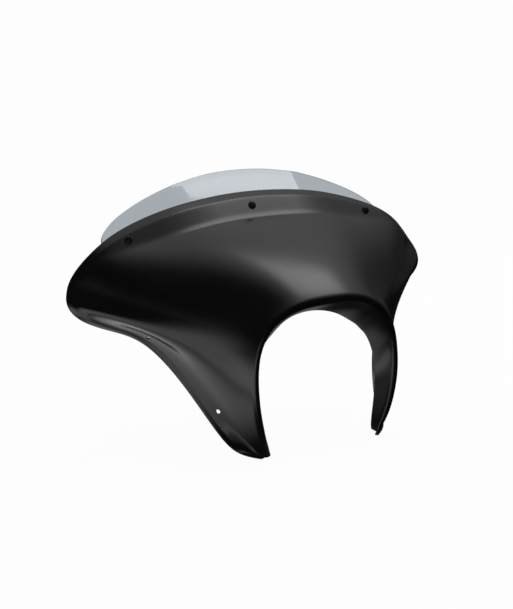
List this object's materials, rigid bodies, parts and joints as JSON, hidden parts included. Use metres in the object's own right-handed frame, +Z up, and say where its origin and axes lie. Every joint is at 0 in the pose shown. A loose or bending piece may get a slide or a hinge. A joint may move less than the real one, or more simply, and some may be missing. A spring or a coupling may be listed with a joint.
{
  "type": "headlight cowl",
  "caption": "Glossy black motorcycle headlight cowl with swept wings, two side legs round an open headlight arch, and a clear screen screwed behind its upper band.",
  "frame": {"origin": "centre of the headlight opening, in the plane of its front edge", "axes": "-Y toward the front, +X the viewer's right seen from the front, +Z up"},
  "size_m": [0.608, 0.2057, 0.3469],
  "materials": {
    "shell": "soft gloss black",
    "screen": "clear acrylic",
    "screws": "black",
    "washers": "matte black",
    "rubbers": "matte black",
    "inserts": "plain"
  },
  "bodies": {
    "root": {"cowl_shell": "shell", "windscreen": "screen", "screw_left": "screws", "screw_middle": "screws", "screw_right": "screws", "washer_left": "washers", "washer_middle": "washers", "washer_right": "washers", "rubber_left": "rubbers", "rubber_middle": "rubbers", "rubber_right": "rubbers", "insert_left": "inserts", "insert_middle": "inserts", "insert_right": "inserts"}
  },
  "joints": []
}
